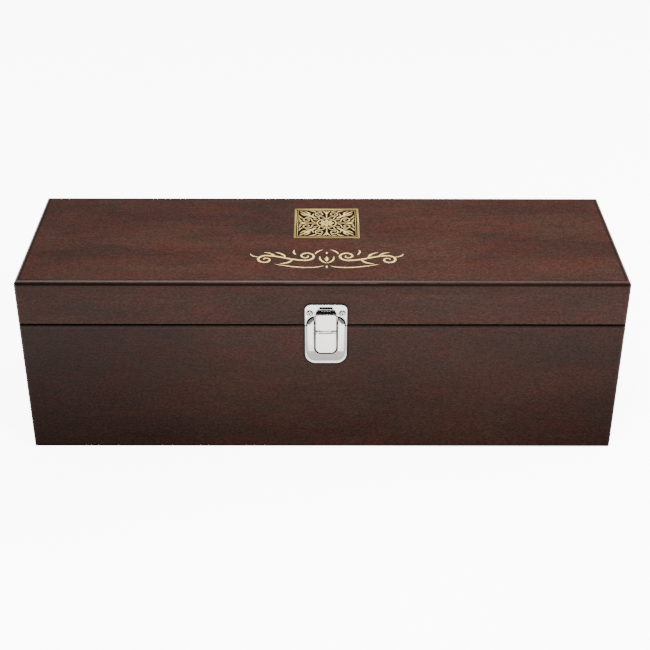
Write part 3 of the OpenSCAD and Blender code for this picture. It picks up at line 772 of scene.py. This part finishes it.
def curve(p0, p1, p2, p3, count=18):
    out = []
    for k in range(count + 1):
        t = k / count
        s = 1 - t
        out.append(tuple(s ** 3 * p0[i] + 3 * s * s * t * p1[i] + 3 * s * t * t * p2[i]
                         + t ** 3 * p3[i] for i in (0, 1)))
    return out


def spiral(centre, r0, r1, start, turns, per_turn=26):
    """From radius r0 at angle start (degrees) to r1, turns counted counterclockwise."""
    count = max(6, round(abs(turns) * per_turn))
    out = []
    for k in range(count + 1):
        t = k / count
        a = math.radians(start + 360 * turns * t)
        r = r0 + (r1 - r0) * t
        out.append((centre[0] + r * math.cos(a), centre[1] + r * math.sin(a)))
    return out


def widths(count, low, high, kind):
    """Widths along a stroke: a leaf is widest before its middle, a swell in its middle."""
    out = []
    for k in range(count):
        t = k / (count - 1)
        if kind == "leaf":
            share = math.sin(math.pi * t ** 0.8) ** 0.8
        else:
            share = math.sin(math.pi * t) ** 0.6
        out.append(low + (high - low) * share)
    return out


def stroke(bm, path, wide):
    """A raised ribbon along path, in millimetres on the lid, with a domed top."""
    rings = []
    points = [Vector(p) for p in path]
    for i, point in enumerate(points):
        before, after = points[max(i - 1, 0)], points[min(i + 1, len(points) - 1)]
        tangent = (after - before).normalized()
        side = Vector((-tangent.y, tangent.x))
        half = wide[i] / 2
        ring = []
        for across, height in STROKE_SECTION:
            at = point + side * half * across
            ring.append(bm.verts.new((at.x * MM, at.y * MM, LID_TOP + height)))
        rings.append(ring)
    for a, b in zip(rings, rings[1:]):
        for i in range(len(a)):
            j = (i + 1) % len(a)
            bm.faces.new((a[i], a[j], b[j], b[i]))
    bm.faces.new(rings[0])
    bm.faces.new(list(reversed(rings[-1])))


def copies(path, centre, eightfold):
    """The path round centre in all eight directions, or only with its mirror image in x."""
    out = []
    for sx in (1, -1):
        for sy in ((1, -1) if eightfold else (1,)):
            out.append([(centre[0] + sx * x, centre[1] + sy * y) for x, y in path])
            if eightfold:
                out.append([(centre[0] + sx * y, centre[1] + sy * x) for x, y in path])
    return out


def square_ring(bm, centre, half, thick):
    """A mitred square frame of flat gold."""
    for turn in range(4):
        a = math.pi / 2 * turn
        d, n = Vector((math.cos(a), math.sin(a))), Vector((-math.sin(a), math.cos(a)))
        corners = []
        for reach, across in ((half, -1), (half, 1), (half - thick, 1), (half - thick, -1)):
            corners.append(Vector(centre) + d * reach + n * reach * across)
        low = [bm.verts.new((c.x * MM, c.y * MM, LID_TOP - SINK)) for c in corners]
        high = [bm.verts.new((c.x * MM, c.y * MM, LID_TOP + SHOULDER)) for c in corners]
        bm.faces.new(low)
        bm.faces.new(high)
        for i in range(4):
            j = (i + 1) % 4
            bm.faces.new((low[i], low[j], high[j], high[i]))


PANEL_AT = (2.5, 19.35)
PANEL_HALF = 20.5
# The panel's two square frames, each by its distance in and its width
PANEL_FRAMES = ((0.0, 1.25), (2.0, 0.4))
# The petals: their number, their stations out from the middle and the widths there
PETALS = 8
PETAL_RADII = (1.1, 1.8, 2.6, 3.4, 4.2, 4.9)
PETAL_WIDTHS = [0.5, 1.3, 1.9, 2.1, 1.6, 0.4]
# The rings at the rosette's heart and round its petals: radius and points
PANEL_RINGS = ((0.45, 16), (6.0, 48))
RING_WIDTH = 0.8
# The panel's strokes, narrowed by this share, each with its least and its greatest width
PANEL_LINE = 0.62
PANEL_STROKES = [
    # a scroll that springs from the ring towards the middle of a side
    (curve((6.4, 0.9), (8.0, 1.2), (9.2, 2.4), (9.3, 4.2))
     + spiral((12.4, 4.4), 3.1, 0.9, 180, -1.3)[1:], 0.5, 1.25, "swell"),
    # leaves on its outer side and the stem between the two scrolls of a side
    (curve((6.8, 0.0), (9.0, 0.0), (13.0, 0.0), (17.2, 0.0)), 0.4, 1.3, "swell"),
    (curve((13.0, 0.3), (14.6, 0.5), (16.4, 1.2), (17.4, 2.6)), 0.3, 1.5, "leaf"),
    (curve((15.0, 6.6), (16.4, 7.4), (17.3, 8.9), (17.3, 10.8)), 0.3, 1.6, "leaf"),
    (curve((15.7, 3.0), (16.8, 3.6), (17.4, 4.8), (17.3, 6.4)), 0.3, 1.3, "leaf"),
    # corner palmette
    (curve((6.4, 6.4), (9.0, 8.0), (11.0, 10.6), (12.2, 15.6)), 0.4, 1.7, "leaf"),
    (curve((12.9, 10.4), (14.4, 11.0), (15.6, 12.2), (16.6, 14.2)), 0.3, 1.5, "leaf"),
    (curve((9.4, 8.9), (11.0, 9.0), (12.4, 8.6), (13.4, 8.0)), 0.3, 1.3, "leaf"),
    (curve((5.2, 4.6), (6.6, 4.4), (7.8, 4.8), (8.4, 6.0)), 0.3, 1.2, "leaf"),
    (curve((9.0, 9.0), (11.5, 11.5), (14.0, 14.0), (17.2, 17.2)), 0.5, 1.9, "leaf"),
]

FLOURISH_AT = (2.5, -28.5)
FLOURISH_STROKES = [
    # main wave between a scroll near the middle and a scroll near the end
    (spiral((12.5, 3.6), 0.9, 5.4, -90 - 360 * 1.35, 1.35)
     + curve((12.5, -1.8), (22, -1.8), (29, 4.2), (37.0, 4.2))[1:]
     + spiral((37.0, -0.9), 5.1, 0.9, 90, -1.25)[1:], 0.55, 1.7, "swell"),
    # thinner lines below it and beside the middle
    (curve((1.6, -8.6), (9, -12.6), (20, -10.6), (31.5, -6.4)), 0.35, 1.2, "swell"),
    (curve((0.0, -5.2), (3.2, -3.6), (4.6, -0.6), (4.2, 3.4)), 0.35, 1.3, "swell"),
    # leaves on the wave
    (curve((20.5, -0.6), (21.8, -4.0), (24.6, -6.0), (28.4, -6.0)), 0.3, 1.6, "leaf"),
    (curve((25.0, 1.6), (25.4, 4.8), (27.6, 7.4), (31.4, 8.4)), 0.3, 1.6, "leaf"),
    (curve((31.4, 3.6), (32.6, 6.2), (35.0, 8.0), (38.2, 8.2)), 0.3, 1.3, "leaf"),
    (curve((18.6, 5.4), (20.2, 7.4), (20.6, 9.4), (19.6, 11.6)), 0.3, 1.3, "leaf"),
    (curve((41.2, 2.6), (44.0, 2.6), (46.0, 4.2), (46.3, 6.8)), 0.3, 1.1, "leaf"),
    (curve((7.0, 6.2), (6.6, 8.6), (4.8, 10.6), (2.2, 11.8)), 0.3, 1.3, "leaf"),
]
# A lozenge and two drops in the middle: from, to and greatest width
FLOURISH_DROPS = ((-3.4, 3.4, 3.0), (6.0, 9.4, 1.5), (-11.6, -8.2, 1.5))
DROP_TIP = 0.15
DROP_STEPS = 8


def panel_ground():
    """The dark ground of the panel: a thin skin between its gold strokes."""
    bm = bmesh.new()
    half, bevel = PANEL_HALF - 0.1, 0.3
    loops = []
    for reach, z in ((half, -SINK), (half, 0.0), (half - bevel, 0.2 * PROUD)):
        loops.append([bm.verts.new(((PANEL_AT[0] + sx * reach) * MM,
                                    (PANEL_AT[1] + sy * reach) * MM, LID_TOP + z))
                      for sx, sy in ((1, 1), (-1, 1), (-1, -1), (1, -1))])
    for a, b in zip(loops, loops[1:]):
        for i in range(4):
            bm.faces.new((a[i], a[(i + 1) % 4], b[(i + 1) % 4], b[i]))
    bm.faces.new(loops[0])
    bm.faces.new(loops[-1])
    add_piece("gold_panel_ground", bm, ground, "lid")


def gold_panel():
    """A rosette of petals in a ring, with scrolls and leaves about it, in a square frame."""
    bm = bmesh.new()
    c = PANEL_AT
    for inset, thick in PANEL_FRAMES:
        square_ring(bm, c, PANEL_HALF - inset, thick)
    for k in range(PETALS):
        a = 2 * math.pi * k / PETALS
        d = Vector((math.cos(a), math.sin(a)))
        stroke(bm, [tuple(Vector(c) + d * r) for r in PETAL_RADII], PETAL_WIDTHS)
    for radius, points in PANEL_RINGS:
        stroke(bm, spiral(c, radius, radius, 0, 1.0, points), [RING_WIDTH] * (points + 1))
    for path, low, high, kind in PANEL_STROKES:
        for placed in copies(path, c, True):
            stroke(bm, placed, widths(len(placed), low * PANEL_LINE, high * PANEL_LINE, kind))
    add_piece("gold_panel", bm, gold, "lid")


def gold_flourish():
    bm = bmesh.new()
    c = FLOURISH_AT
    for path, low, high, kind in FLOURISH_STROKES:
        for placed in copies(path, c, False):
            stroke(bm, placed, widths(len(placed), low, high, kind))
    for y0, y1, wide in FLOURISH_DROPS:
        steps = range(DROP_STEPS + 1)
        path = [(c[0], c[1] + y0 + (y1 - y0) * k / DROP_STEPS) for k in steps]
        stroke(bm, path, [DROP_TIP + wide * (1 - abs(2 * k / DROP_STEPS - 1)) for k in steps])
    add_piece("gold_flourish", bm, gold, "lid")


panel_ground()
gold_panel()
gold_flourish()

# A glint for the gold alone, which nothing else mirrors
glint = area_light("gold_glint", (0.02, 1.0, 0.74), (0.0025, 0, 0.119), (0.6, 0.3), 3.6,
                   diffuse=False)
gold_pieces = bpy.data.collections.new("gold_pieces")
for name in ("gold_panel", "gold_flourish"):
    gold_pieces.objects.link(bpy.data.objects[name])
glint.light_linking.receiver_collection = gold_pieces
